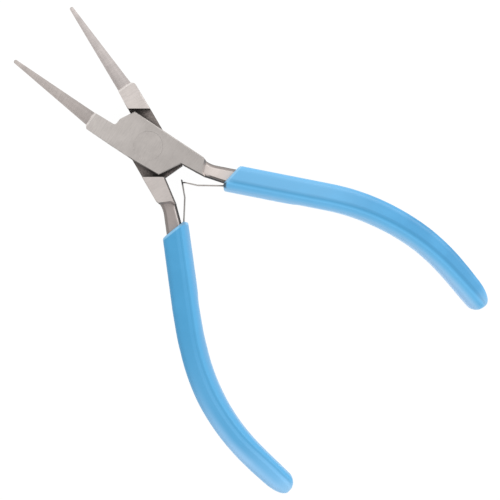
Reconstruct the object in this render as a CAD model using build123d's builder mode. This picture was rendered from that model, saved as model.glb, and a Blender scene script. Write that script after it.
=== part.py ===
from build123d import *
from math import cos, radians, sin
import os

# Round nose pliers for jewellery making, 5 inch class, standing open as their leaf springs leave them.
# Frame: origin at the centre of the joint rivet on the mid-plane of the lap joint, +Y towards the jaw tips
# along the closing line, +X to the right of the front face, +Z out of the front face.
# The two halves are like forgings, the rear one turned 180 degrees about +Y: they differ only in how their
# lap plates are trimmed. Each is drawn in its own closed frame, with its jaw at -x, its handle at +x and
# its lap plate at +z.

# ---- opening ----
half_opening = 13.35  # each half stands this far from closed, degrees

# ---- lap joint ----
face_height = 3.2  # from the mid-plane to each ground face
lap_gap = 0.02  # from the mid-plane to each lap face
wall_angle = 30.0  # slope of the recess walls
recess_length = 40.0  # cuts right across a half
front_wall = 8.9  # from the rivet to the recess wall on the jaw side
rear_wall = 7.41  # from the rivet to the recess wall on the handle side
plate_right = 5.1  # plate edge on the handle side
plate_left = -4.85  # plate edge on the jaw side
edge_break = 0.2  # on the long edges of the ground faces
# the front plate is trimmed parallel to the rear half's walls, with this much room when closed
wall_gap = 0.13
front_crotch = 9.3
front_plate_back_x = (0.7, -4.45)
# the rear plate stops short of its wall, and is long at the back, where the front half's recess is rounded
rear_plate_front = 8.3
rear_crotch = 8.95
rear_plate_back = ((0.39, -8.4), (-2.0, -8.2), (-4.7, -7.95))
long_recess = 9.45  # radius of the front half's recess at the back

# ---- jaw block and neck: corners of the ground faces ----
block_inner = (-0.33, 15.07)
block_outer = ((-4.82, 7.6), (-4.7, 14.6), (-3.95, 15.33))
crotch_x = -0.15
crotch_round = 0.7
plate_point_x = 1.7  # the front edge of the plate peaks here
neck_corner = (5.0, -12.4)
neck_end = ((4.7, -13.3), (3.35, -14.2), (2.6, -15.2))
neck_inner = (1.25, -15.25)  # bend of the inner edge between plate and tang

# ---- joint rivet, heads ground flush ----
pivot_radius = 2.0
pivot_clearance = 0.03
head_radius = 3.46

# ---- round jaw ----
jaw_length = 23.2
jaw_base_radius = 1.8
jaw_tip_radius = 0.47
jaw_tip_round = 0.3
jaw_tilt = 4.1  # lean of the cone towards the closing line
jaw_base = (-2.14, 15.2)
jaw_root = 1.0  # the jaw carries on into its block by this
taper_length = 5.0  # the block thins over this length up to the shoulder
shoulder_height = 2.2  # half thickness of the block at the shoulder
shoulder_break = 0.4  # 45 degree edge of the shoulder, down to the cone

# ---- tang and handle line: straight, one arc inwards, straight ----
handle_start = (4.955, -21.5)
handle_angle = 22.1
handle_straight = 22.83
handle_radius = 52.5
handle_turn = 37.67
handle_tail = 12.3
tang_inner = 1.85
tang_outer = 2.1
tang_height = 2.3  # half thickness of the tang
tang_round = 0.9
tang_end_gap = 4.0  # from the end of the tang to the end of the sleeve
tang_top = 5.1  # the outer edge leaves the handle line here and bends in to the neck
neck_root = ((0.95, -12.6), (4.7, -12.6))
neck_bend = (4.6, -14.3)
# the hollow that thins the neck to the tang is square to the handle line, in the handle plane
scoop_inner = -1.0
scoop_top = 8.05
scoop_width = 8.0
scoop_length = 9.0
scoop_round = 1.3
scoop_slope = 30.0

# ---- leaf springs ----
leaf_thickness = 0.3
leaf_width = 3.0
tail_length = 14.0
tail_offset = 2.025  # mid-thickness of the tail, inwards of the handle line
flex_point = 1.0  # the blade flexes here, up the handle line from handle_start
leaf_split = 0.07  # half of the gap between tail and blade
leaf_kink = (2.1, -14.8)
tongue_bend = (0.35, -12.2)
tongue_tip = (-0.25, -11.7)
tongue_root_y = -13.3
tongue_width = 1.2
window_tip = (-0.26, -11.2)
window_width = 1.8
window_y = (-13.4, -11.46)
kink_radius = 1.5

# ---- spring rivets ----
spring_rivet_radius = 0.75
spring_head_radius = 1.3
spring_head_height = 0.4
spring_rivet_place = 9.0  # down the handle line

# ---- sleeve grips ----
grip_half_width = 3.2
grip_half_height = 3.9
grip_crease = -0.9  # the flat face ends here and slopes to the inner side
grip_inner_height = 2.6
grip_round = 1.0
grip_fit = 0.02
bulge = 0.25  # the sleeve stands proud by this over the spring's tail
bulge_length = 17.0
bulge_run_out = 3.0
bulge_half_height = 2.0
length_above = 4.0  # the sleeve starts this far above handle_start, before its mouth is cut
mouth_outer = (3.2, -0.6)
mouth_inner = (-2.1, 2.55)
mouth_corner = (-4.2, 1.9)
# pocket for the leaf's tail, in the handle plane: it flares where the blade flexes
pocket_steel_side = -1.3
pocket_floor = -2.35
pocket_flare = 3.5
pocket_mouth = -2.85
pocket_room = 0.1

# the frames of the two halves, as they stand open
across = cos(radians(half_opening))
along = sin(radians(half_opening))
front_frame = Plane((0, 0, 0), x_dir=(across, along, 0), z_dir=(0, 0, 1))
rear_frame = Plane((0, 0, 0), x_dir=(-across, along, 0), z_dir=(0, 0, -1))
# the same two sides, not turned: +x towards the half's own handle
front_side = Plane.XY
rear_side = Plane((0, 0, 0), x_dir=(-1, 0, 0), z_dir=(0, 0, -1))


def plane_in(frame, x, y, turn=0.0):
    """A plane at (x, y) of a half's frame, turned about its normal."""
    return Plane(frame.location * Location((x, y, 0), (0, 0, turn)))


def handle_plane(frame):
    """The plane at the top of the handle line: x out of the pliers, y up the handle towards the joint."""
    return plane_in(frame, handle_start[0], handle_start[1], handle_angle)


def plate_edge_y(x, distance):
    """Height at x of a plate end that is parallel to the other half's wall and this far from the rivet."""
    return (distance - x * sin(radians(wall_angle))) / cos(radians(wall_angle))


def cap_radius(radius, height):
    """Radius of the sphere whose cap has this rim radius and height."""
    return (radius**2 + height**2) / (2 * height)


def handle_curve(offset, top, bottom_gap):
    """The handle line moved outwards by offset, from y = top to bottom_gap short of its end."""
    radius = handle_radius + offset
    upper = Line((offset, top), (offset, -handle_straight))
    bend = JernArc(start=upper @ 1, tangent=(0, -1), radius=radius, arc_size=-handle_turn)
    lower = PolarLine(bend @ 1, handle_tail - bottom_gap, direction=bend % 1)
    return upper, bend, lower


def rivet_plane(frame):
    """A plane across the handle line at the spring rivet, its normal pointing inwards."""
    top = handle_plane(frame)
    centre = top.from_local_coords((0, -spring_rivet_place, 0))
    return Plane(centre, x_dir=top.y_dir, z_dir=-top.x_dir)


def tang(frame, clearance=0.0):
    """The steel from the neck down, with its long edges rounded."""
    top = handle_plane(frame)

    def neck(x, y):
        """A point of the half's frame in the handle plane."""
        return top.to_local_coords(frame.from_local_coords((x, y, 0)))

    with BuildPart() as bar:
        with BuildSketch(top):
            with BuildLine():
                inner = handle_curve(-tang_inner - clearance, flex_point, tang_end_gap - clearance)
                outer = handle_curve(tang_outer + clearance, tang_top, tang_end_gap - clearance)
                Line(inner[2] @ 1, outer[2] @ 1)
                Polyline(inner[0] @ 0, neck(*neck_inner), neck(*neck_root[0]), neck(*neck_root[1]))
                ThreePointArc(neck(*neck_root[1]), neck(*neck_bend), outer[0] @ 0)
            make_face()
        extrude(amount=tang_height + clearance, both=True)
        rims = bar.edges().group_by(Axis.Z)
        fillet(rims[0] + rims[-1], tang_round)
    return bar


def forging(frame, crotch, front_end, back_corners, recess_back):
    """One half: round jaw, jaw block, lap plate, neck and tang in one piece of steel.

    crotch and front_end place the front of its plate, back_corners are the corners at the back of its plate,
    and recess_back is the radius of its recess at the back, or None where the recess has a straight wall.
    """
    handle = tang(frame)
    jaw = plane_in(frame, jaw_base[0], jaw_base[1], -jaw_tilt)
    side = Plane(jaw.origin, x_dir=jaw.y_dir, z_dir=jaw.x_dir)
    tip_sphere = cap_radius(jaw_tip_radius, jaw_tip_round)
    with BuildPart() as half:
        with BuildSketch(frame) as outline:
            Polygon(
                block_inner,
                (crotch_x, crotch),
                (plate_point_x, plate_edge_y(plate_point_x, front_end)),
                (plate_right, plate_edge_y(plate_right, front_end)),
                neck_corner,
                *neck_end,
                neck_inner,
                *back_corners,
                (plate_left, 1.0),
                *block_outer,
                align=None,
            )
            inside = outline.vertices().sort_by_distance(frame.from_local_coords((crotch_x, crotch)))[0]
            fillet(inside, crotch_round)
        extrude(amount=face_height, both=True)
        ground = half.edges().group_by(Axis.Z)
        chamfer(ground[0] + ground[-1], edge_break)
        # the block thins towards the shoulder, on both faces
        with BuildSketch(side):
            with BuildLine():
                slope = TangentArc(
                    (-taper_length, face_height),
                    (-shoulder_break, shoulder_height),
                    tangent=(1, 0),
                )
                Polyline(
                    slope @ 1,
                    (shoulder_break, shoulder_height - 2 * shoulder_break),
                    (shoulder_break, 2 * face_height),
                    (-taper_length, 2 * face_height),
                    slope @ 0,
                )
            make_face()
            mirror(about=Plane.XZ)
        extrude(amount=recess_length, both=True, mode=Mode.SUBTRACT)
        # recess for the other half's plate
        with BuildSketch(plane_in(frame, 0, 0, wall_angle).offset(lap_gap)):
            with Locations((0, (front_wall - rear_wall) / 2)):
                Rectangle(recess_length, front_wall + rear_wall)
        extrude(amount=-2 * face_height, mode=Mode.SUBTRACT)
        if recess_back:
            with BuildSketch(frame.offset(lap_gap)):
                Circle(recess_back)
                with Locations((0, recess_length / 2)):
                    Rectangle(recess_length, recess_length, mode=Mode.SUBTRACT)
            extrude(amount=-2 * face_height, mode=Mode.SUBTRACT)
        # hollows that thin the neck to the tang
        for face, direction in ((face_height, -1), (-face_height, 1)):
            with BuildSketch(handle_plane(frame).offset(face)):
                with Locations((scoop_inner, scoop_top)):
                    RectangleRounded(scoop_width, scoop_length, scoop_round, align=(Align.MIN, Align.MAX))
            depth = direction * (face_height - tang_height)
            extrude(amount=depth, taper=scoop_slope, mode=Mode.SUBTRACT)
        add(handle.part)
        # round jaw, turned about its own axis
        with BuildSketch(jaw):
            with BuildLine():
                cone = Polyline(
                    (0, jaw_length),
                    (0, -jaw_root),
                    (jaw_base_radius, -jaw_root),
                    (jaw_base_radius, 0),
                    (jaw_tip_radius, jaw_length - jaw_tip_round),
                )
                RadiusArc(cone @ 1, cone @ 0, -tip_sphere)
            make_face()
        revolve(axis=Axis(jaw.origin, jaw.y_dir))
        # seat of the joint rivet
        with Locations(frame.offset(face_height).location):
            CounterSinkHole(
                radius=pivot_radius + pivot_clearance,
                counter_sink_radius=head_radius + pivot_clearance,
                counter_sink_angle=90,
            )
        # hole of the spring rivet, across the tang
        with BuildSketch(rivet_plane(frame)):
            Circle(spring_rivet_radius)
        extrude(amount=3 * tang_outer, both=True, mode=Mode.SUBTRACT)
    return half


def leaf_tail(frame):
    """The part of the leaf that lies on the tang under the sleeve."""
    with BuildPart() as tail:
        with BuildSketch(handle_plane(frame)):
            with Locations((-tail_offset, (flex_point - leaf_split - tail_length) / 2)):
                Rectangle(leaf_thickness, flex_point - leaf_split + tail_length)
        extrude(amount=leaf_width / 2, both=True)
        with BuildSketch(rivet_plane(frame)):
            Circle(spring_rivet_radius)
        extrude(amount=2 * tail_offset, mode=Mode.SUBTRACT)
    return tail


def flex_start(frame, side):
    """Where the blade starts, in the coordinates of the half's unturned side."""
    start = handle_plane(frame).from_local_coords((-tail_offset, flex_point + leaf_split, 0))
    return side.to_local_coords(start)


def leaf_strip(side, points):
    """A strip of spring steel that stands on edge and follows the points."""
    with BuildPart() as strip:
        with BuildSketch(side):
            with BuildLine():
                FilletPolyline(*points, radius=kink_radius)
            trace(line_width=leaf_thickness)
        extrude(amount=leaf_width / 2, both=True)
    return strip


def tongue_blade(frame, side):
    """Free part of the front leaf: its end is a narrow hooked tongue."""
    start = flex_start(frame, side)
    strip = leaf_strip(side, [(start.X, start.Y), leaf_kink, tongue_bend, tongue_tip])
    with BuildPart() as blade:
        add(strip.part)
        for way in (1, -1):
            with BuildSketch(side.offset(way * tongue_width / 2)):
                with Locations((0, tongue_root_y + leaf_width / 2)):
                    Rectangle(2 * leaf_width, leaf_width)
            extrude(amount=way * leaf_width, mode=Mode.SUBTRACT)
    return blade


def window_blade(frame, side):
    """Free part of the rear leaf: its end has the window that the tongue goes through."""
    start = flex_start(frame, side)
    strip = leaf_strip(side, [(start.X, start.Y), leaf_kink, window_tip])
    with BuildPart() as blade:
        add(strip.part)
        with BuildSketch(side):
            with Locations((0, sum(window_y) / 2)):
                Rectangle(2 * leaf_width, window_y[1] - window_y[0])
        extrude(amount=window_width / 2, both=True, mode=Mode.SUBTRACT)
    return blade


def spring_rivet(frame):
    """Rivet through the leaf's tail and the tang, with a low domed head on the leaf."""
    seat = tail_offset + leaf_thickness / 2
    lengthwise = Plane(rivet_plane(frame).origin, x_dir=frame.z_dir, z_dir=-handle_plane(frame).y_dir)
    dome = cap_radius(spring_head_radius, spring_head_height)
    with BuildPart() as rivet:
        with BuildSketch(lengthwise):
            with BuildLine():
                shank = Polyline(
                    (0, seat + spring_head_height),
                    (0, -tang_outer),
                    (spring_rivet_radius, -tang_outer),
                    (spring_rivet_radius, seat),
                    (spring_head_radius, seat),
                )
                RadiusArc(shank @ 1, shank @ 0, -dome)
            make_face()
        revolve(axis=Axis(lengthwise.origin, lengthwise.y_dir))
    return rivet


def joint_rivet():
    """Pivot of the lap joint: a pin with two countersunk heads, ground flush with both faces."""
    seat = face_height - (head_radius - pivot_radius)
    with BuildPart() as rivet:
        with BuildSketch(Plane.XZ):
            Polygon(
                (0, -face_height),
                (head_radius, -face_height),
                (pivot_radius, -seat),
                (pivot_radius, seat),
                (head_radius, face_height),
                (0, face_height),
                align=None,
            )
        revolve(axis=Axis.Z)
    return rivet


def sleeve(frame):
    """Dipped sleeve: each face is flat, then slopes to the inner side; the end is closed."""
    top = handle_plane(frame)
    steel = tang(frame, grip_fit)
    start = Plane(top.from_local_coords((0, length_above, 0)), x_dir=top.x_dir, z_dir=-top.y_dir)
    with BuildLine(top) as spine:
        handle_curve(0.0, length_above, 0.0)
    finish = Plane(spine.line @ 1, x_dir=top.z_dir.cross(spine.line % 1), z_dir=top.z_dir)
    with BuildPart() as grip:
        with BuildSketch(start) as section:
            Polygon(
                (grip_half_width, -grip_half_height),
                (grip_half_width, grip_half_height),
                (grip_crease, grip_half_height),
                (-grip_half_width, grip_inner_height),
                (-grip_half_width, -grip_inner_height),
                (grip_crease, -grip_half_height),
                align=None,
            )
            fillet(section.vertices(), grip_round)
        sweep(path=spine.line)
        # rounded end
        with BuildSketch(finish):
            with Locations((0, grip_half_width / 2)):
                Rectangle(3 * grip_half_width, grip_half_width)
            with Locations((0, grip_half_width)):
                Circle(grip_half_width, mode=Mode.SUBTRACT)
        extrude(amount=2 * grip_half_height, both=True, mode=Mode.SUBTRACT)
        # raised strip over the spring's tail
        with BuildSketch(top):
            Polygon(
                (grip_crease, length_above),
                (-grip_half_width - bulge, length_above),
                (-grip_half_width - bulge, bulge_run_out - bulge_length),
                (-grip_half_width, -bulge_length),
                (grip_crease, -bulge_length),
                align=None,
            )
        extrude(amount=bulge_half_height, both=True)
        # oblique mouth
        with BuildSketch(top):
            slope = (mouth_outer[1] - mouth_inner[1]) / (mouth_outer[0] - mouth_inner[0])
            past_edge = 2 * grip_half_width
            Polygon(
                (past_edge, mouth_outer[1] + slope * (past_edge - mouth_outer[0])),
                mouth_inner,
                mouth_corner,
                (mouth_corner[0], 2 * length_above),
                (past_edge, 2 * length_above),
                align=None,
            )
        extrude(amount=past_edge, both=True, mode=Mode.SUBTRACT)
        # pocket for the tang, the leaf and the rivet's head
        add(steel.part, mode=Mode.SUBTRACT)
        with BuildSketch(top):
            Polygon(
                (pocket_steel_side, length_above),
                (pocket_mouth, length_above),
                (pocket_mouth, pocket_flare),
                (pocket_floor, flex_point),
                (pocket_floor, -tail_length - pocket_room),
                (pocket_steel_side, -tail_length - pocket_room),
                align=None,
            )
        extrude(amount=leaf_width / 2 + pocket_room, both=True, mode=Mode.SUBTRACT)
        with BuildSketch(rivet_plane(frame)):
            Circle(spring_head_radius + pocket_room)
        extrude(
            amount=tail_offset + leaf_thickness / 2 + spring_head_height + pocket_room,
            mode=Mode.SUBTRACT,
        )
    return grip


os.makedirs("parts", exist_ok=True)

front_plate_back = tuple((x, plate_edge_y(x, wall_gap - rear_wall)) for x in front_plate_back_x)
front_half = forging(front_frame, front_crotch, front_wall - wall_gap, front_plate_back, long_recess)
front_half.part.label = "front_half"
export_step(front_half.part, "parts/front_half.step")

rear_half = forging(rear_frame, rear_crotch, rear_plate_front, rear_plate_back, None)
rear_half.part.label = "rear_half"
export_step(rear_half.part, "parts/rear_half.step")

pivot = joint_rivet()
pivot.part.label = "joint_rivet"
export_step(pivot.part, "parts/joint_rivet.step")

front_tail = leaf_tail(front_frame)
front_tail.part.label = "front_spring_tail"
export_step(front_tail.part, "parts/front_spring_tail.step")

rear_tail = leaf_tail(rear_frame)
rear_tail.part.label = "rear_spring_tail"
export_step(rear_tail.part, "parts/rear_spring_tail.step")

front_blade = tongue_blade(front_frame, front_side)
front_blade.part.label = "front_spring_blade"
export_step(front_blade.part, "parts/front_spring_blade.step")

rear_blade = window_blade(rear_frame, rear_side)
rear_blade.part.label = "rear_spring_blade"
export_step(rear_blade.part, "parts/rear_spring_blade.step")

front_rivet = spring_rivet(front_frame)
front_rivet.part.label = "front_spring_rivet"
export_step(front_rivet.part, "parts/front_spring_rivet.step")

rear_rivet = spring_rivet(rear_frame)
rear_rivet.part.label = "rear_spring_rivet"
export_step(rear_rivet.part, "parts/rear_spring_rivet.step")

front_grip = sleeve(front_frame)
front_grip.part.label = "front_grip"
export_step(front_grip.part, "parts/front_grip.step")

rear_grip = sleeve(rear_frame)
rear_grip.part.label = "rear_grip"
export_step(rear_grip.part, "parts/rear_grip.step")
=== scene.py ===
import math
from types import SimpleNamespace

import bmesh
import bpy
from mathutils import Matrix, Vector


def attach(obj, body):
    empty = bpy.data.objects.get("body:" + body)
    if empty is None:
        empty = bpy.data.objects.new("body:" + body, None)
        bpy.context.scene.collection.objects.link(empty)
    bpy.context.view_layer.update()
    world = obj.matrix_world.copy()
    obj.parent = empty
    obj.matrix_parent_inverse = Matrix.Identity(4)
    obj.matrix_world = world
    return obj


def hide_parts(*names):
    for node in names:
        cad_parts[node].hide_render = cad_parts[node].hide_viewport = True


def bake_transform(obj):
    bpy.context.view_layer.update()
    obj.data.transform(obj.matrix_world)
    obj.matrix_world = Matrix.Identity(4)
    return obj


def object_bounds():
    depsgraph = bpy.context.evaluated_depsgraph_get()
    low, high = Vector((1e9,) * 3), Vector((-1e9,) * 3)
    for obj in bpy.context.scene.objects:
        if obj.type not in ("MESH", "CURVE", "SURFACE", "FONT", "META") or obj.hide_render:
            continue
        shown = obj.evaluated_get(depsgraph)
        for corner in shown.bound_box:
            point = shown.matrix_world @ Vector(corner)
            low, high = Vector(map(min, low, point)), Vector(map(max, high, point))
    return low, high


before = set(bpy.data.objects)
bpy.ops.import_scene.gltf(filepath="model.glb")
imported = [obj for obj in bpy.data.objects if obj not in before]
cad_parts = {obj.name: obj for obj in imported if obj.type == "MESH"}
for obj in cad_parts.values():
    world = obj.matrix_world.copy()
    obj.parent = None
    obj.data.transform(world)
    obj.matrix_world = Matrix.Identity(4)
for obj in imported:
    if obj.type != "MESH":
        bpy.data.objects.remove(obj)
cad_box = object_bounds()

MM = 0.001
HALF_OPENING = math.radians(13.35)

# ---------------------------------------------------------------- handle line, millimetres
# Each half has a closed frame (jaw at -x, handle at +x). Its handle line starts at HANDLE_START, leans by
# HANDLE_ANGLE, runs straight, bends inwards on one arc and ends straight.
HANDLE_START = (4.955, -21.5)
HANDLE_ANGLE = math.radians(22.1)
STRAIGHT = 22.83
BEND_RADIUS = 52.5
BEND_LENGTH = BEND_RADIUS * math.radians(37.67)
TAIL = 12.3
LENGTH = STRAIGHT + BEND_LENGTH + TAIL

SIDES = {"front": 1.0, "rear": -1.0}


def closed_to_world(side, x, y, z=0.0):
    """A point of a half's closed frame, in metres in the shared frame, with the pliers standing open."""
    c, s = math.cos(HALF_OPENING), math.sin(HALF_OPENING)
    return Vector((SIDES[side] * (x * c - y * s), x * s + y * c, z)) * MM


def handle_to_world(side, x, y, z=0.0):
    """A point of the handle plane: x outwards, y up the handle line from its start."""
    c, s = math.cos(HANDLE_ANGLE), math.sin(HANDLE_ANGLE)
    return closed_to_world(side, HANDLE_START[0] + x * c - y * s, HANDLE_START[1] + x * s + y * c, z)


def along_handle(offset, run):
    """Handle plane coordinates of the point at arc length run down the line, offset outwards."""
    if run <= STRAIGHT:
        return offset, -run
    turn = min(run - STRAIGHT, BEND_LENGTH) / BEND_RADIUS
    reach = BEND_RADIUS + offset
    rest = max(run - STRAIGHT - BEND_LENGTH, 0.0)
    x = -BEND_RADIUS + reach * math.cos(turn) - rest * math.sin(turn)
    y = -STRAIGHT - reach * math.sin(turn) - rest * math.cos(turn)
    return x, y


# ---------------------------------------------------------------- small tools


def smooth(low, high, value):
    """Smooth step of value from low to high."""
    t = min(max((value - low) / (high - low), 0.0), 1.0)
    return t * t * (3 - 2 * t)


def between(points, value):
    """Linear interpolation in a short list of (place, value)."""
    for (x0, v0), (x1, v1) in zip(points, points[1:]):
        if value <= x1:
            t = min(max((value - x0) / (x1 - x0), 0.0), 1.0)
            return v0 + (v1 - v0) * t
    return points[-1][1]


def rounded_line(corners, steps):
    """An open polyline of (x, y, radius) with its inner corners rounded, always with as many points."""
    points = [Vector(corners[0][:2])]
    for before, here, after in zip(corners, corners[1:], corners[2:]):
        a, b, c = Vector(before[:2]), Vector(here[:2]), Vector(after[:2])
        into, out = (a - b).normalized(), (c - b).normalized()
        angle = into.angle(out)
        cut = min(here[2] / math.tan(angle / 2), 0.48 * (a - b).length, 0.48 * (c - b).length)
        start, end = b + into * cut, b + out * cut
        for i in range(steps + 1):
            t = i / steps
            points.append(start * (1 - t) ** 2 + b * 2 * t * (1 - t) + end * t**2)
    points.append(Vector(corners[-1][:2]))
    return points


def piece_of_mesh(name, mesh, material, smooth_shading):
    """An object of this mesh, put in the scene."""
    mesh.materials.append(material)
    for polygon in mesh.polygons:
        polygon.use_smooth = smooth_shading
    piece = bpy.data.objects.new(name, mesh)
    bpy.context.scene.collection.objects.link(piece)
    return piece


def piece_of_faces(name, vertices, faces, material, smooth_shading=True):
    """An object of these vertices and faces, with its normals facing out."""
    mesh = bpy.data.meshes.new(name)
    mesh.from_pydata([tuple(v) for v in vertices], [], faces)
    mesh.validate()
    edit = bmesh.new()
    edit.from_mesh(mesh)
    bmesh.ops.recalc_face_normals(edit, faces=edit.faces)
    edit.to_mesh(mesh)
    edit.free()
    return piece_of_mesh(name, mesh, material, smooth_shading)


def coat(node, material):
    """Give a CAD node this material in place of its own."""
    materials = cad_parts[node].data.materials
    materials.clear()
    materials.append(material)


# ---------------------------------------------------------------- node tools


class Nodes:
    """The node tree of a material or a world, with short calls for the nodes used here."""

    def __init__(self, owner):
        owner.use_nodes = True
        self.owner = owner
        self.tree = owner.node_tree
        self.tree.nodes.clear()

    def put(self, kind, inputs=None, **settings):
        node = self.tree.nodes.new(kind)
        for key, value in settings.items():
            setattr(node, key, value)
        for key, value in (inputs or {}).items():
            self.feed(node.inputs[key], value)
        return node

    def feed(self, socket, value):
        if isinstance(value, bpy.types.NodeSocket):
            self.tree.links.new(value, socket)
        else:
            socket.default_value = value

    def math(self, operation, a, b=0.0):
        return self.put("ShaderNodeMath", {0: a, 1: b}, operation=operation).outputs[0]

    def times(self, *factors):
        """The product of values and masks."""
        product = factors[0]
        for factor in factors[1:]:
            product = self.math("MULTIPLY", product, factor)
        return product

    def ramp(self, value, low, high, to_low=0.0, to_high=1.0, kind="SMOOTHSTEP"):
        """Step of value from low to high, smooth unless another kind is given."""
        inputs = {0: value, 1: low, 2: high, 3: to_low, 4: to_high}
        return self.put("ShaderNodeMapRange", inputs, interpolation_type=kind).outputs[0]

    def part(self, vector, index):
        return self.put("ShaderNodeSeparateXYZ", {0: vector}).outputs[index]

    def mix(self, factor, a, b):
        node = self.put("ShaderNodeMix", {0: factor, 6: a, 7: b}, data_type="RGBA")
        return node.outputs[2]

    def scale(self, vector, by):
        node = self.put("ShaderNodeVectorMath", {0: vector, 1: by}, operation="MULTIPLY")
        return node.outputs[0]

    def dim(self, color, factor):
        """A colour times a factor that may come from other nodes."""
        node = self.put("ShaderNodeVectorMath", {0: color, "Scale": factor}, operation="SCALE")
        return node.outputs[0]

    def noise(self, vector, size, detail=3.0, roughness=0.55):
        inputs = {"Vector": vector, "Scale": size, "Detail": detail, "Roughness": roughness}
        return self.put("ShaderNodeTexNoise", inputs).outputs[0]

    def streaks(self, place, spread, detail, roughness=0.55):
        """Noise that varies by spread per millimetre along x, y and z."""
        return self.noise(self.scale(place, spread), 1.0, detail, roughness)

    def bump(self, height, distance, strength, normal=None):
        inputs = {"Height": height, "Distance": distance, "Strength": strength}
        if normal:
            inputs["Normal"] = normal
        return self.put("ShaderNodeBump", inputs).outputs[0]

    def finish(self, color, roughness, normal, metallic=0.0, **extra):
        """The material, with one glossy shader of these inputs."""
        inputs = {"Base Color": color, "Roughness": roughness, "Metallic": metallic, "Normal": normal}
        inputs.update({key.replace("_", " "): value for key, value in extra.items()})
        shader = self.put("ShaderNodeBsdfPrincipled", inputs)
        self.put("ShaderNodeOutputMaterial", {"Surface": shader.outputs[0]})
        return self.owner


def new_material(name):
    return Nodes(bpy.data.materials.new(name))


def in_half(nodes, side, output, unit):
    """A texture coordinate as a vector in the half's closed frame."""
    sign = SIDES[side]
    vector = nodes.put("ShaderNodeTexCoord").outputs[output]
    vector = nodes.scale(vector, (sign / unit, 1 / unit, sign / unit))
    turn = {"Vector": vector, "Angle": -HALF_OPENING}
    return nodes.put("ShaderNodeVectorRotate", turn, rotation_type="Z_AXIS").outputs[0]


def in_millimetres(nodes):
    """The place on a piece, in millimetres in the shared frame."""
    return nodes.scale(nodes.put("ShaderNodeTexCoord").outputs["Object"], (1 / MM, 1 / MM, 1 / MM))


def shade(color, factor):
    """The same colour lighter or darker, linear values."""
    return [min(c * factor, 1.0) for c in color[:3]] + [1.0]


# ---------------------------------------------------------------- steel, linear colours

# One steel for both halves: their ground, cone, neck and hollow tones differ only as painted light and
# shade, lighter or darker as the light falls on each half.
HALF_LOOKS_AS_LIT = {
    "front": SimpleNamespace(
        ground=(0.55, 0.51, 0.485, 1),
        block_light_gain=1.34,
        cone=(0.53, 0.475, 0.45, 1),
        cone_base=0.8,
        neck=(0.84, 0.755, 0.71, 1),
        hollow=(0.64, 0.58, 0.55, 1),
        outer_edge=(0.28, 0.245, 0.23, 1),
        inner_edge_light_shade=(0.13, 0.115, 0.105, 1),
        inner_rim_light_shade=(0.40, 0.355, 0.335, 1),
        edge_shade_top=3.0,
    ),
    "rear": SimpleNamespace(
        ground=(0.70, 0.64, 0.61, 1),
        block_light_gain=1.1,
        cone=(0.59, 0.535, 0.515, 1),
        cone_base=0.88,
        neck=(0.44, 0.385, 0.365, 1),
        hollow=(0.52, 0.46, 0.44, 1),
        outer_edge=(0.29, 0.255, 0.24, 1),
        inner_edge_light_shade=(0.50, 0.45, 0.43, 1),
        inner_rim_light_shade=(0.11, 0.098, 0.092, 1),
        edge_shade_top=-3.0,
    ),
}
SHOULDER_HIGHLIGHT = (0.9, 0.85, 0.82, 1)
EDGE_SHADE = (0.12, 0.105, 0.098, 1)
SIDE_SCALE = ((0.035, 0.031, 0.028, 1), (0.12, 0.105, 0.095, 1))
RECESS_BROWN = ((0.31, 0.265, 0.245, 1), (0.15, 0.124, 0.114, 1))
RECESS_CORNER_SHADE = (0.03, 0.026, 0.025, 1)
RECESS_PALE_ENDS = (0.27, 0.235, 0.22, 1)

# Masks: each pair holds the value where the mask starts and the one where it is full.
# heights over the mid-plane
UNDER_FACE = (3.17, 3.1)
ON_SHOULDER = (1.5, 1.6)
RECESS_FLOOR = (0.4, 0.1)
# places along the half
CONE_FOOT = (15.25, 15.45)
SHOULDER_FOOT = (14.2, 14.5)
SIDE_TOP = (15.1, 14.9)
RECESS_TOP = (13.0, 12.0)
NECK_TOP = (-12.2, -12.6)
INNER_EDGE_TOP = (-15.2, -16.6)
# slants: 1 lies flat, 0 stands upright
TILTED = (0.995, 0.96)
RIM_SLANT = (0.87, 0.8)
BREAK_SLANT = (0.82, 0.76)
UPRIGHT = (0.55, 0.35)
FLAT = (0.8, 0.95)
# leanings: positive towards the half's own handle, or up towards the jaw
LEANS_OUT = (0.0, 0.12)
LEANS_IN = (0.0, -0.12)
LEANS_WELL_IN = (-0.3, -0.5)
LEANS_UP = (0.35, 0.6)
LEANS_DOWN_HANDLE = (0.3, 0.45)
DOWN_HANDLE = (0.376, -0.927)


def cross_grain(nodes, place):
    """Grinding marks across the flat faces."""
    return nodes.streaks(place, (0.35, 5.0, 5.0), 5.0, 0.75)


def clouded(nodes, cloud, ground):
    """Ground steel with faint clouds."""
    return nodes.mix(nodes.ramp(cloud, 0.3, 0.7), shade(ground, 0.93), shade(ground, 1.06))


def grained(nodes, grain, ground, color):
    """The colour with dark and bright grinding marks."""
    color = nodes.mix(nodes.ramp(grain, 0.4, 0.75, 0.0, 0.4), color, shade(ground, 0.6))
    return nodes.mix(nodes.ramp(grain, 0.42, 0.2, 0.0, 0.4), color, shade(ground, 1.35))


def ground_roughness(nodes, grain):
    return nodes.ramp(grain, 0.25, 0.75, 0.34, 0.48)


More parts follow.
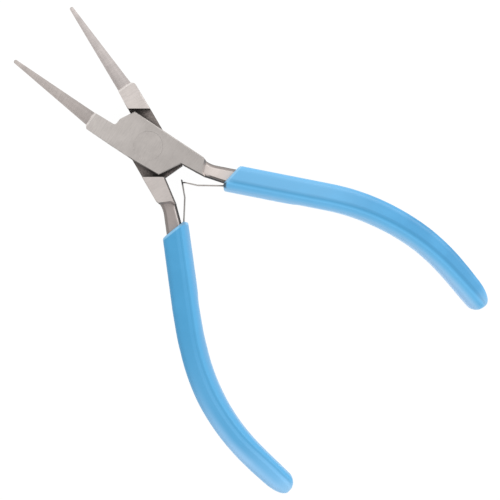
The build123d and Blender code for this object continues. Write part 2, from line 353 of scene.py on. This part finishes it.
def half_surface(nodes, side, edge_shade_top):
    """Where a point of a half lies, how its surface leans, and the masks that tell its finishes and its
    painted highlights and shade apart.
    """
    at = SimpleNamespace()
    at.place = in_half(nodes, side, "Object", MM)
    at.x, at.y = nodes.part(at.place, 0), nodes.part(at.place, 1)
    height = nodes.math("ABSOLUTE", nodes.part(at.place, 2))
    facing = nodes.put("ShaderNodeNewGeometry").outputs["True Normal"]
    flatness = nodes.math("ABSOLUTE", nodes.part(facing, 2))
    leaning = in_half(nodes, side, "Normal", 1.0)
    at.outwards, upwards = nodes.part(leaning, 0), nodes.part(leaning, 1)
    down = nodes.math("ADD", nodes.times(at.outwards, DOWN_HANDLE[0]), nodes.times(upwards, DOWN_HANDLE[1]))
    tilted = nodes.ramp(flatness, *TILTED)
    leans_in = nodes.ramp(at.outwards, *LEANS_IN)

    at.on_cone = nodes.ramp(at.y, *CONE_FOOT)
    at.on_shoulder = nodes.times(
        nodes.ramp(upwards, *LEANS_UP), nodes.ramp(height, *ON_SHOULDER), nodes.ramp(at.y, *SHOULDER_FOOT)
    )
    at.on_neck = nodes.times(nodes.ramp(height, *UNDER_FACE), nodes.ramp(at.y, *NECK_TOP))
    at.on_hollow = nodes.ramp(down, *LEANS_DOWN_HANDLE)
    at.on_outer = nodes.times(tilted, nodes.ramp(at.outwards, *LEANS_OUT))
    at.on_inner = nodes.times(tilted, leans_in, nodes.ramp(at.y, *INNER_EDGE_TOP))
    at.on_rim = nodes.times(nodes.ramp(flatness, *RIM_SLANT), leans_in)
    at.on_break = nodes.times(
        nodes.ramp(flatness, *BREAK_SLANT),
        nodes.ramp(at.outwards, *LEANS_WELL_IN),
        nodes.ramp(at.y, edge_shade_top, edge_shade_top - 1.0),
    )
    at.upright = nodes.times(nodes.ramp(flatness, *UPRIGHT), nodes.ramp(at.y, *SIDE_TOP))
    at.in_recess = nodes.times(
        nodes.ramp(height, *RECESS_FLOOR), nodes.ramp(flatness, *FLAT), nodes.ramp(at.y, *RECESS_TOP)
    )
    at.scaled = nodes.math("MAXIMUM", at.upright, at.in_recess)

    at.grain = cross_grain(nodes, at.place)
    at.fine = nodes.streaks(at.place, (0.7, 14.0, 14.0), 4.0, 0.7)
    at.rings = nodes.streaks(at.place, (0.5, 7.0, 0.5), 4.0, 0.75)
    at.bands = nodes.streaks(at.place, (0.1, 0.45, 0.1), 2.0)
    at.cloud = nodes.noise(at.place, 0.3)
    at.specks = nodes.noise(at.place, 2.2, 6.0, 0.7)
    return at


def flat_color(nodes, at, look):
    """Cross-ground faces, with painted light that makes them a little brighter towards the tilted jaw block,
    and darker towards the handle.
    """
    color = clouded(nodes, at.cloud, look.ground)
    # painted light on the tilted jaw block
    color = nodes.mix(nodes.ramp(at.y, 2.0, 15.0, 0.0, 0.5), color, shade(look.ground, look.block_light_gain))
    color = nodes.mix(nodes.ramp(at.y, 3.0, -10.0, 0.0, 0.5), color, shade(look.ground, 0.8))
    return grained(nodes, at.grain, look.ground, color)


def cone_color(nodes, at, look, side):
    """Round jaw: fine rings and broad bands, brighter towards the tip and duller on the lit flank."""
    color = nodes.mix(nodes.ramp(at.y, 16.0, 25.0), shade(look.cone, look.cone_base), look.cone)
    color = nodes.mix(nodes.ramp(at.y, 31.0, 39.0), color, shade(look.cone, 1.14))
    color = nodes.mix(nodes.ramp(at.bands, 0.4, 0.62, 0.0, 0.5), color, shade(look.cone, 0.84))
    color = nodes.mix(nodes.ramp(at.rings, 0.45, 0.72, 0.0, 0.6), color, shade(look.cone, 0.62))
    color = nodes.mix(nodes.ramp(at.rings, 0.42, 0.25, 0.0, 0.4), color, shade(look.cone, 1.35))
    # painted shade on the flank towards the lamp and painted light on the flank away from it
    towards_lamp = nodes.times(at.outwards, SIDES[side])
    return nodes.dim(color, nodes.ramp(towards_lamp, -0.45, 0.4, 1.1, 0.86))


def neck_color(nodes, at, look):
    """Softly finished neck, painted lighter or darker as light falls on each half, with an unground outer
    edge, painted highlight and shade on its rounded inner edge, and the hollow that thins it to the tang.
    """
    color = nodes.mix(nodes.ramp(at.cloud, 0.35, 0.65), look.neck, shade(look.neck, 0.9))
    color = nodes.mix(nodes.ramp(at.y, -16.5, -13.5, 0.0, 0.6), color, shade(look.neck, 0.75))
    color = nodes.mix(nodes.ramp(at.fine, 0.42, 0.72, 0.0, 0.2), color, shade(look.neck, 0.6))
    color = nodes.mix(at.on_outer, color, look.outer_edge)
    # painted highlight and shade on the rounded inner edge
    color = nodes.mix(at.on_inner, color, look.inner_edge_light_shade)
    color = nodes.mix(at.on_rim, color, look.inner_rim_light_shade)
    hollow = nodes.mix(nodes.ramp(at.x, 3.0, 4.4), look.hollow, look.outer_edge)
    return nodes.mix(at.on_hollow, color, hollow)


def recess_color(nodes, at):
    """Brown forging scale on the floor of the lap recess, with painted shade that turns it black in its
    corners, and paler away from its middle.
    """
    occlusion_shade = nodes.put("ShaderNodeAmbientOcclusion", {"Distance": 1.3 * MM}, samples=8).outputs["AO"]
    brown = nodes.mix(nodes.ramp(at.specks, 0.45, 0.62), *RECESS_BROWN)
    # painted shade where the walls and the other half shelter the floor
    color = nodes.mix(nodes.ramp(occlusion_shade, 0.4, 0.95), RECESS_CORNER_SHADE, brown)
    from_middle = nodes.math("ABSOLUTE", at.x)
    return nodes.mix(nodes.ramp(from_middle, 1.8, 4.8, 0.0, 0.55), color, RECESS_PALE_ENDS)


def steel(side):
    """Forged half: ground faces and cone, a softer neck, and scale in the recess and on the sides."""
    nodes = new_material(f"steel_{side}")
    look = HALF_LOOKS_AS_LIT[side]
    at = half_surface(nodes, side, look.edge_shade_top)

    color = nodes.mix(at.on_cone, flat_color(nodes, at, look), cone_color(nodes, at, look, side))
    # painted highlight on the turned shoulder at the foot of the cone
    color = nodes.mix(nodes.times(at.on_shoulder, 0.8), color, SHOULDER_HIGHLIGHT)
    color = nodes.mix(at.on_neck, color, neck_color(nodes, at, look))
    # painted shade on the edge breaks that lean away from the light
    color = nodes.mix(nodes.times(at.on_break, 0.85), color, EDGE_SHADE)
    color = nodes.mix(at.in_recess, color, recess_color(nodes, at))
    color = nodes.mix(at.upright, color, nodes.mix(nodes.ramp(at.specks, 0.4, 0.62), *SIDE_SCALE))

    rounded = nodes.put("ShaderNodeBevel", {"Radius": 0.06 * MM}, samples=4).outputs[0]
    normal = nodes.bump(at.grain, 0.012 * MM, 0.6, rounded)
    normal = nodes.bump(at.fine, 0.008 * MM, 0.5, normal)
    normal = nodes.bump(nodes.times(at.rings, at.on_cone), 0.01 * MM, 0.5, normal)
    normal = nodes.bump(nodes.times(at.specks, at.scaled), 0.12 * MM, 0.7, normal)
    # scale is rough and hardly metallic, and the cone is duller than the faces
    roughness = nodes.math("ADD", ground_roughness(nodes, at.grain), nodes.times(at.scaled, 0.2))
    roughness = nodes.math("ADD", roughness, nodes.times(at.on_cone, 0.15))
    metallic = nodes.math("SUBTRACT", 0.6, nodes.times(at.scaled, 0.4))
    metallic = nodes.math("SUBTRACT", metallic, nodes.times(at.on_cone, 0.45))
    return nodes.finish(color, roughness, normal, metallic)


def rivet_steel():
    """Rivet heads, ground together with the front plate, so its cross grain runs over them."""
    nodes = new_material("rivet_steel")
    ground = HALF_LOOKS_AS_LIT["front"].ground
    place = in_half(nodes, "front", "Object", MM)
    grain = cross_grain(nodes, place)
    color = grained(nodes, grain, ground, clouded(nodes, nodes.noise(place, 0.3), ground))
    return nodes.finish(color, ground_roughness(nodes, grain), nodes.bump(grain, 0.012 * MM, 0.6), 0.6)


# pale and deep steel of each strip
STRIP_LOOKS = {
    "front": ((0.62, 0.575, 0.545, 1), (0.40, 0.365, 0.345, 1)),
    "rear": ((0.44, 0.42, 0.40, 1), (0.24, 0.225, 0.21, 1)),
}
ROLLING_LINE = (0.12, 0.11, 0.105, 1)
HOOK_AND_SHADE_DARK = (0.02, 0.02, 0.022, 1)
HOOK_ACROSS = (0.9, 0.5)
HOOK_UP = (-12.5, -12.2)
SLEEVE_SHADE_REACH = (5.6, 6.8)


def spring_steel(side):
    """Rolled spring strip with fine lines along it, darker at the hooked ends, with painted shade where it
    runs into the sleeves.
    """
    nodes = new_material(f"spring_steel_{side}")
    pale, deep = STRIP_LOOKS[side]
    place = in_millimetres(nodes)
    lines = nodes.streaks(place, (1.0, 1.0, 16.0), 4.0, 0.7)
    color = nodes.mix(nodes.noise(place, 0.8), deep, pale)
    color = nodes.mix(nodes.ramp(lines, 0.35, 0.7, 0.0, 0.35), color, ROLLING_LINE)
    from_middle, y = nodes.math("ABSOLUTE", nodes.part(place, 0)), nodes.part(place, 1)
    hook = nodes.times(nodes.ramp(from_middle, *HOOK_ACROSS), nodes.ramp(y, *HOOK_UP))
    # painted shade near the sleeves' mouths, and darker at the hooked end
    dark_hook_and_shade = nodes.math("MAXIMUM", nodes.ramp(from_middle, *SLEEVE_SHADE_REACH), hook)
    color = nodes.mix(nodes.times(dark_hook_and_shade, 0.85), color, HOOK_AND_SHADE_DARK)
    roughness = nodes.ramp(lines, 0.3, 0.7, 0.28, 0.42)
    return nodes.finish(color, roughness, nodes.bump(lines, 0.01 * MM, 0.5), 0.8)


# ---------------------------------------------------------------- vinyl, linear colours

# One vinyl for both sleeves: the blues of each side are painted light and shade, lighter or darker as the
# light falls on its face, tip, slope, inner margin and outer flank.
VINYL_LOOKS_AS_LIT = {
    "front": SimpleNamespace(
        face=(0.155, 0.465, 0.775, 1),
        far_face=(0.082, 0.375, 0.690, 1),
        tip=(0.092, 0.385, 0.700, 1),
        slope=(0.140, 0.510, 0.870, 1),
        margin=(0.330, 0.630, 0.930, 1),
        flank=(0.050, 0.280, 0.540, 1),
        flank_from=22.0,
        crease=0.75,
        lip_shadow_depth=0.95,
    ),
    "rear": SimpleNamespace(
        face=(0.060, 0.345, 0.635, 1),
        far_face=(0.095, 0.395, 0.700, 1),
        tip=(0.190, 0.520, 0.860, 1),
        slope=(0.085, 0.400, 0.715, 1),
        margin=(0.160, 0.410, 0.680, 1),
        flank=(0.340, 0.630, 0.950, 1),
        flank_from=30.0,
        crease=0.3,
        lip_shadow_depth=0.5,
    ),
}
CREASE_SHADE_BLUE = (0.06, 0.345, 0.63, 1)
LIP_HIGHLIGHT_BLUE = (0.34, 0.66, 0.93, 1)
END_LIGHT_BLUE = (0.35, 0.66, 0.97, 1)
RIM_SHEEN_BLUE = (0.38, 0.63, 0.94, 1)
LIP_SHADOW_DARK = (0.015, 0.022, 0.03, 1)

# runs down the handle over which the blue changes
FACE_RUN = (20.0, 42.0)
TIP_RUN = (50.0, 68.0)
FLANK_FULL = 56.0
END_RUN = (LENGTH - 5.0, LENGTH)
RIM_RUN = (36.0, 62.0)
CREASE_RUN = (60.0, 36.0)
# distances from the crease, outwards
FLANK_ACROSS = (1.5, 3.6)
SLOPE_ACROSS = (0.4, -0.9)
MARGIN_ACROSS = (-0.9, -2.3)
RIM_ACROSS = (-1.6, -3.0)


def dipped_vinyl(side):
    """Dipped sleeve: the blue of its face changes slowly down the handle and along the far outer flank, as
    painted light and shade.
    The slope beyond the crease has its own painted light, and so have the inner side and the lip of the
    mouth; the crease gets painted shade."""
    nodes = new_material(f"dipped_vinyl_{side}")
    look = VINYL_LOOKS_AS_LIT[side]
    place = in_millimetres(nodes)
    waves = nodes.noise(place, 0.16, 2.0, 0.4)
    skin = nodes.noise(place, 3.2, 4.0, 0.6)
    across, down, groove, lip, lip_shadow = (
        nodes.put("ShaderNodeAttribute", attribute_name=name).outputs["Fac"]
        for name in ("across", "down", "groove", "lip", "lip_shadow")
    )
    # painted light and shade on each side's face and tip down the handle
    color = nodes.mix(nodes.ramp(down, *FACE_RUN), look.face, look.far_face)
    color = nodes.mix(nodes.ramp(down, *TIP_RUN), color, look.tip)
    # painted shade on the front's far outer flank and painted light on the rear's
    far_out = nodes.times(nodes.ramp(across, *FLANK_ACROSS), nodes.ramp(down, look.flank_from, FLANK_FULL))
    color = nodes.mix(far_out, color, look.flank)
    # painted light on the rounded end
    color = nodes.mix(nodes.ramp(down, *END_RUN, 0.0, 0.7), color, END_LIGHT_BLUE)
    # painted light on the slope and the inner margin beyond the crease
    color = nodes.mix(nodes.ramp(across, *SLOPE_ACROSS), color, look.slope)
    color = nodes.mix(nodes.ramp(across, *MARGIN_ACROSS), color, look.margin)
    # painted sheen along the inner side, far down the handle
    far_in = nodes.times(nodes.ramp(across, *RIM_ACROSS), nodes.ramp(down, *RIM_RUN))
    color = nodes.mix(nodes.times(far_in, 0.8), color, RIM_SHEEN_BLUE)
    color = nodes.mix(nodes.ramp(waves, 0.4, 0.7, 0.0, 0.2), color, shade(look.slope, 1.12))
    # painted shade along the crease, fading down the handle
    fading = nodes.ramp(down, *CREASE_RUN, look.crease * 0.4, look.crease)
    color = nodes.mix(nodes.times(groove, fading), color, CREASE_SHADE_BLUE)
    # painted highlight along the rolled lip of the mouth
    color = nodes.mix(nodes.times(lip, 0.6), color, LIP_HIGHLIGHT_BLUE)
    # painted shadow on the lip of the mouth round the leaf
    color = nodes.mix(nodes.times(lip_shadow, look.lip_shadow_depth), color, LIP_SHADOW_DARK)
    roughness = nodes.ramp(skin, 0.3, 0.7, 0.36, 0.48)
    normal = nodes.bump(waves, 0.25 * MM, 0.25)
    normal = nodes.bump(skin, 0.02 * MM, 0.35, normal)
    return nodes.finish(color, roughness, normal, Coat_Weight=0.06, Coat_Roughness=0.25)


# ---------------------------------------------------------------- sleeve grips

GRIP_TOP = 3.9
GRIP_INNER_TOP = 2.7
CREASE_DEPTH = 0.24
ARC_STEPS = 5
STRAIGHTENED = 15.0  # the mouth's slant has died out this far down
LIP_HEIGHT = 0.5  # the outside starts this far under the mouth, where the lip has rolled over
BULGE = 0.24  # the sleeve stands proud by this over the leaf's tail
BULGE_LENGTH = 16.5
BULGE_FADE = 2.5
OUTER_ROUND = 6.0  # the outer side turns in over this length at the end
INNER_ROUND = 2.6
FACE_ROUND = 3.0
FACE_ROUND_POWER = 2.6  # above 2, so the faces stay flat for longer
# mouth: height over handle start across the handle, from the inner side to the outer side
MOUTH = {
    "front": ((-3.5, 2.0), (-1.9, 2.55), (-1.4, 2.2), (3.12, -0.6)),
    "rear": ((-3.5, 2.4), (-2.3, 2.78), (3.12, -0.5)),
}
# place of the crease across the handle, down the handle
CREASE = {
    "front": ((0, -1.1), (26, -1.05), (40, -0.7), (52, -0.3), (62, 0.1)),
    "rear": ((0, -1.0), (40, -1.05), (52, -1.3), (62, -1.7)),
}
# half widths down the handle
OUTER_WIDTH = {
    "front": ((0, 3.12), (40, 3.14), (48, 3.22), (56, 3.12), (60, 3.02), (64, 2.78), (70, 2.55)),
    "rear": ((0, 3.14), (18, 3.22), (28, 2.94), (40, 3.08), (52, 2.9), (60, 2.82), (64, 2.62), (70, 2.45)),
}
INNER_WIDTH = {
    "front": ((0, 3.28), (36, 3.26), (48, 2.98), (60, 2.94), (64, 3.04), (70, 3.05)),
    "rear": ((0, 3.1), (18, 3.12), (28, 3.42), (40, 3.22), (48, 3.05), (60, 2.88), (70, 2.95)),
}
# pocket round the tang and the leaf, deepest ring first: depth under the mouth, half width at the leaf
POCKET_RINGS = ((5.0, 2.25), (1.6, 2.4))
POCKET_MOUTH = 2.7
# rolled lip from inside to outside: share of the way to the pocket, drop from the mouth
LIP = ((1.0, 0.3), (0.96, 0.08), (0.85, 0.0), (0.4, 0.0), (0.22, 0.04), (0.1, 0.14), (0.03, 0.3))
# rings from the slanting mouth to square across the handle, and at the rounded end, as shares of the way
SLANT_SHARES = (0.0, 0.02, 0.05, 0.1, 0.17, 0.25, 0.35, 0.46, 0.58, 0.7, 0.85, 1.0)
END_SHARES = (0.0, 0.1, 0.2, 0.3, 0.4, 0.5, 0.6, 0.7, 0.78, 0.85, 0.91, 0.955, 0.985, 0.997)
LEAF_PLACE = -2.1  # the leaf enters here, across the handle, and painted shadow darkens the lip round it


def mirrored(upper):
    """A closed section from its upper half, given from the outer side to the inner side."""
    return upper + [Vector((p.x, -p.y)) for p in reversed(upper[1:-1])]


def sleeve_section(outer, inner, crease):
    """Section of the sleeve: (x, z) from the outer side over the top face, the crease and the inner side."""
    corners = (
        (outer, 0.0, 0),
        (outer, GRIP_TOP, 1.5),
        (crease + 0.75, GRIP_TOP, 0.4),
        (crease, GRIP_TOP - CREASE_DEPTH, 0.22),
        (crease - 0.6, GRIP_TOP - 0.22, 0.4),
        (-inner, GRIP_INNER_TOP, 1.5),
        (-inner, 0.0, 0),
    )
    return mirrored(rounded_line(corners, ARC_STEPS))


def pocket_section(inner):
    """Section of the pocket round the tang and the leaf, point for point with sleeve_section."""
    corners = (
        (2.2, 0.0, 0),
        (2.2, 2.4, 0.9),
        (0.6, 2.4, 0.1),
        (-0.2, 2.4, 0.1),
        (-1.0, 2.4, 0.1),
        (-inner, 2.3, 0.7),
        (-inner, 0.0, 0),
    )
    return mirrored(rounded_line(corners, ARC_STEPS))


def outer_section(side, run):
    """The sleeve's section at this run down the handle, with its bulge over the leaf's tail."""
    outer, inner = between(OUTER_WIDTH[side], run), between(INNER_WIDTH[side], run)
    proud = BULGE * (1 - smooth(BULGE_LENGTH - BULGE_FADE, BULGE_LENGTH, run))
    points = []
    for p in sleeve_section(outer, inner, between(CREASE[side], run)):
        share = smooth(2.4, 3.1, -p.x) * (1 - smooth(1.6, 2.6, abs(p.y)))
        points.append(Vector((p.x - proud * share, p.y)))
    return points


def end_section(side, run):
    """The sleeve's section at this run, drawn in where the end is rounded."""
    left = max(LENGTH - run, 0.0)
    flat = min(left / FACE_ROUND, 1.0)
    points = []
    for p in outer_section(side, run):
        t = min(left / (OUTER_ROUND if p.x > 0 else INNER_ROUND), 1.0)
        narrow = math.sqrt(1 - (1 - t) ** 2)
        low = (1 - (1 - flat) ** FACE_ROUND_POWER) ** (1 / FACE_ROUND_POWER)
        points.append(Vector((p.x * narrow, p.y * low)))
    return points


class SleeveSkin:
    """The rings of one sleeve, and how each of their points looks."""

    def __init__(self, side):
        self.side = side
        self.rings = []
        self.looks = {"across": [], "down": [], "groove": [], "lip": [], "lip_shadow": []}

    def add_ring(self, points, places, run, groove, lip):
        """A ring of section points at these places in the handle plane."""
        self.rings.append([handle_to_world(self.side, x, y, p.y) for p, (x, y) in zip(points, places)])
        crease = between(CREASE[self.side], run)
        for p in points:
            near = 1 - smooth(0.15, 0.65, abs(p.x - crease))
            self.looks["across"].append(p.x - crease)
            self.looks["down"].append(run)
            self.looks["groove"].append(groove * near * (abs(p.y) > 2.9))
            self.looks["lip"].append(lip)
            # painted shadow on the lip round the place where the leaf enters
            self.looks["lip_shadow"].append(lip * (1 - smooth(0.3, 0.9, abs(p.x - LEAF_PLACE))))

    def add_mouth_ring(self, points, drop, lip):
        """A ring that follows the slanting mouth, this far under it."""
        places = [(p.x, between(MOUTH[self.side], p.x) - drop) for p in points]
        self.add_ring(points, places, 0.0, 0.0, lip)

    def faces(self):
        """Quads between the rings and a fan to one last vertex, which closes the end."""
        count = len(self.rings[0])
        faces = []
        for r in range(len(self.rings) - 1):
            for i in range(count):
                j = (i + 1) % count
                faces.append((r * count + i, r * count + j, (r + 1) * count + j, (r + 1) * count + i))
        last = (len(self.rings) - 1) * count
        return faces + [(last + i, last + (i + 1) % count, last + count) for i in range(count)]


def sleeve(side, material):
    """Sleeve grip: a loft down the handle line, with a rolled oblique mouth, a crease and a rounded end."""
    skin = SleeveSkin(side)
    for depth, width in POCKET_RINGS:
        skin.add_mouth_ring(pocket_section(width), depth, 0.0)
    for share, drop in LIP:
        ways = zip(outer_section(side, 0.0), pocket_section(POCKET_MOUTH))
        skin.add_mouth_ring([a.lerp(b, share) for a, b in ways], drop, 1.0)

    for share in SLANT_SHARES:
        run = STRAIGHTENED * share
        points = outer_section(side, run)
        tops = [between(MOUTH[side], p.x) - LIP_HEIGHT for p in points]
        places = [(p.x, top + (-STRAIGHTENED - top) * share) for p, top in zip(points, tops)]
        skin.add_ring(points, places, run, smooth(0.0, 0.1, share), 1 - smooth(0.0, 0.02, share))

    runs = [STRAIGHTENED + 1.0 * i for i in range(1, int(LENGTH - OUTER_ROUND - STRAIGHTENED))]
    runs += [LENGTH - OUTER_ROUND * (1 - share) for share in END_SHARES]
    for run in runs:
        points = end_section(side, run)
        groove = smooth(2.0, 7.0, max(LENGTH - run, 0.0))
        skin.add_ring(points, [along_handle(p.x, run) for p in points], run, groove, 0.0)

    vertices = [v for ring in skin.rings for v in ring]
    vertices.append(handle_to_world(side, *along_handle(0.0, LENGTH)))
    piece = piece_of_faces(f"sleeve_{side}", vertices, skin.faces(), material)
    for name, values in skin.looks.items():
        attribute = piece.data.attributes.new(name, "FLOAT", "POINT")
        attribute.data.foreach_set("value", values + [0.0])
    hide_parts(f"{side}_grip")
    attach(piece, f"{side}_lever")


# ---------------------------------------------------------------- leaf springs

LEAF_THICKNESS = 0.3
LEAF_HALF_WIDTH = 1.5
LEAF_STEP = 0.4
LEAF_EDGE = 0.05
TAIL_LENGTH = 14.0
TAIL_OFFSET = 2.025
FLEX_POINT = 1.0
# corners of the strip: x, y and radius
FLEX_RADIUS = 2.5
KINK = (2.1, -14.8, 1.5)
ENDS = {
    "front": [(0.35, -12.2, 0.5), (-0.25, -11.7, 0)],
    "rear": [(-0.26, -11.2, 0)],
}
TONGUE_ROOT = -13.3
TONGUE_HALF_WIDTH = 0.6
WINDOW_HALF_WIDTH = 0.9
WINDOW = (-13.4, -11.46)


def leaf_path(side):
    """Mid-thickness of the strip from its end under the sleeve, in millimetres, +x towards its handle."""

    def own(point):
        return SIDES[side] * point.x / MM, point.y / MM

    tail_end = own(handle_to_world(side, -TAIL_OFFSET, -TAIL_LENGTH))
    flex = own(handle_to_world(side, -TAIL_OFFSET, FLEX_POINT))
    line = rounded_line([(*tail_end, 0), (*flex, FLEX_RADIUS), KINK, *ENDS[side]], 8)
    path = []
    for a, b in zip(line, line[1:]):
        steps = max(1, round((b - a).length / LEAF_STEP))
        path += [a.lerp(b, i / steps) for i in range(steps)]
    path.append(line[-1])
    return path


def is_steel(side, column, y):
    """Whether the strip has steel in this one of its three columns, at this height."""
    if side == "front":
        return column == 1 or y < TONGUE_ROOT
    return column != 1 or not WINDOW[0] < y < WINDOW[1]


def leaf_faces(edit, side):
    """The strip's two skins and the walls round its outline and its window."""
    path = leaf_path(side)
    inner_column = TONGUE_HALF_WIDTH if side == "front" else WINDOW_HALF_WIDTH
    columns = (-LEAF_HALF_WIDTH, -inner_column, inner_column, LEAF_HALF_WIDTH)
    grid = []
    for i, point in enumerate(path):
        ahead = (path[min(i + 1, len(path) - 1)] - path[max(i - 1, 0)]).normalized()
        across = Vector((ahead.y, -ahead.x)) * LEAF_THICKNESS / 2
        row = []
        for p in (point + across, point - across):
            row.append([edit.verts.new((SIDES[side] * p.x * MM, p.y * MM, z * MM)) for z in columns])
        grid.append(row)

    cells = set()
    for r in range(len(path) - 1):
        y = (path[r].y + path[r + 1].y) / 2
        cells |= {(r, c) for c in range(len(columns) - 1) if is_steel(side, c, y)}
    for r, c in sorted(cells):
        for way in (0, 1):
            near, far = grid[r][way], grid[r + 1][way]
            edit.faces.new((near[c], near[c + 1], far[c + 1], far[c]))
        for beside, (r0, c0), (r1, c1) in (
            ((r - 1, c), (r, c), (r, c + 1)),
            ((r + 1, c), (r + 1, c), (r + 1, c + 1)),
            ((r, c - 1), (r, c), (r + 1, c)),
            ((r, c + 1), (r, c + 1), (r + 1, c + 1)),
        ):
            if beside not in cells:
                edit.faces.new((grid[r0][0][c0], grid[r1][0][c1], grid[r1][1][c1], grid[r0][1][c0]))


def leaf(side, material):
    """One strip of spring steel from its rivet under the sleeve to its hooked or pierced end."""
    edit = bmesh.new()
    leaf_faces(edit, side)
    bmesh.ops.delete(edit, geom=[v for v in edit.verts if not v.link_faces], context="VERTS")
    bmesh.ops.recalc_face_normals(edit, faces=edit.faces)
    sharp = [e for e in edit.edges if e.is_manifold and e.calc_face_angle(0.0) > 1.0]
    bmesh.ops.bevel(edit, geom=sharp, offset=LEAF_EDGE * MM, segments=2, affect="EDGES", profile=0.5)
    mesh = bpy.data.meshes.new(f"leaf_spring_{side}")
    edit.to_mesh(mesh)
    edit.free()
    piece = piece_of_mesh(f"leaf_spring_{side}", mesh, material, False)
    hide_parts(f"{side}_spring_tail", f"{side}_spring_blade")
    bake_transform(piece)


# ---------------------------------------------------------------- stage, light and camera, metres

FLOOR_REACH = 2.0
FLOOR_GAP = 0.05 * MM
LAMP_SIZE = 0.35
LAMP_PLACE = (0.42, 0.02, 0.38)
LAMP_AIM = (0.0, -0.035, 0.0)
VIEW_CENTRE = Vector((0.0006, -0.0347, 0.0))
VIEW_WIDTH = 0.12
VIEW_DISTANCE = 0.42
VIEW_TURN = math.radians(-43.37)
SENSOR = 36.0


def floor(height):
    """Pale floor just below the pliers; it glows a little, as a lit white sweep does."""
    nodes = new_material("floor_white")
    glow = nodes.put("ShaderNodeEmission", {"Color": (1, 1, 1, 1), "Strength": 1.04})
    matte = nodes.put("ShaderNodeBsdfDiffuse", {"Color": (0.95, 0.95, 0.95, 1)})
    shader = nodes.put("ShaderNodeMixShader", {0: 0.06, 1: glow.outputs[0], 2: matte.outputs[0]})
    nodes.put("ShaderNodeOutputMaterial", {"Surface": shader.outputs[0]})
    r = FLOOR_REACH
    corners = [(-r, -r, height), (r, -r, height), (r, r, height), (-r, r, height)]
    piece_of_faces("floor", corners, [(0, 1, 2, 3)], nodes.owner, False)


def studio():
    """White surroundings, brighter on the right, and one soft lamp from there."""
    world = bpy.data.worlds.new("studio")
    bpy.context.scene.world = world
    nodes = Nodes(world)
    way = nodes.put("ShaderNodeTexCoord").outputs["Generated"]
    sides = nodes.ramp(nodes.part(way, 0), -0.9, 0.9, 0.9, 1.18, "LINEAR")
    strength = nodes.ramp(nodes.part(way, 2), 0.3, 0.97, sides, 0.95)
    background = nodes.put("ShaderNodeBackground", {"Strength": strength})
    nodes.put("ShaderNodeOutputWorld", {"Surface": background.outputs[0]})

    lamp = bpy.data.lights.new("soft_lamp", "AREA")
    lamp.shape = "RECTANGLE"
    lamp.size, lamp.size_y = LAMP_SIZE, LAMP_SIZE
    lamp.energy = 1.2
    piece = bpy.data.objects.new("soft_lamp", lamp)
    bpy.context.scene.collection.objects.link(piece)
    piece.location = LAMP_PLACE
    piece.rotation_mode = "QUATERNION"
    piece.rotation_quaternion = (Vector(LAMP_AIM) - Vector(LAMP_PLACE)).to_track_quat("-Z", "Y")


def camera():
    """Straight down on the front face, turned so that the closing line runs up to the left."""
    data = bpy.data.cameras.new("camera")
    data.sensor_width = SENSOR
    data.lens = SENSOR * VIEW_DISTANCE / VIEW_WIDTH
    data.clip_start, data.clip_end = 0.01, 10.0
    piece = bpy.data.objects.new("camera", data)
    bpy.context.scene.collection.objects.link(piece)
    piece.location = VIEW_CENTRE + Vector((0, 0, VIEW_DISTANCE))
    piece.rotation_euler = (0, 0, VIEW_TURN)
    bpy.context.scene.camera = piece


# ---------------------------------------------------------------- the pliers

bpy.context.scene.view_settings.view_transform = "Standard"

rivets = rivet_steel()
coat("joint_rivet", rivets)
for side in SIDES:
    coat(f"{side}_half", steel(side))
    coat(f"{side}_spring_rivet", rivets)
    sleeve(side, dipped_vinyl(side))
    leaf(side, spring_steel(side))

floor(cad_box[0].z - FLOOR_GAP)
studio()
camera()
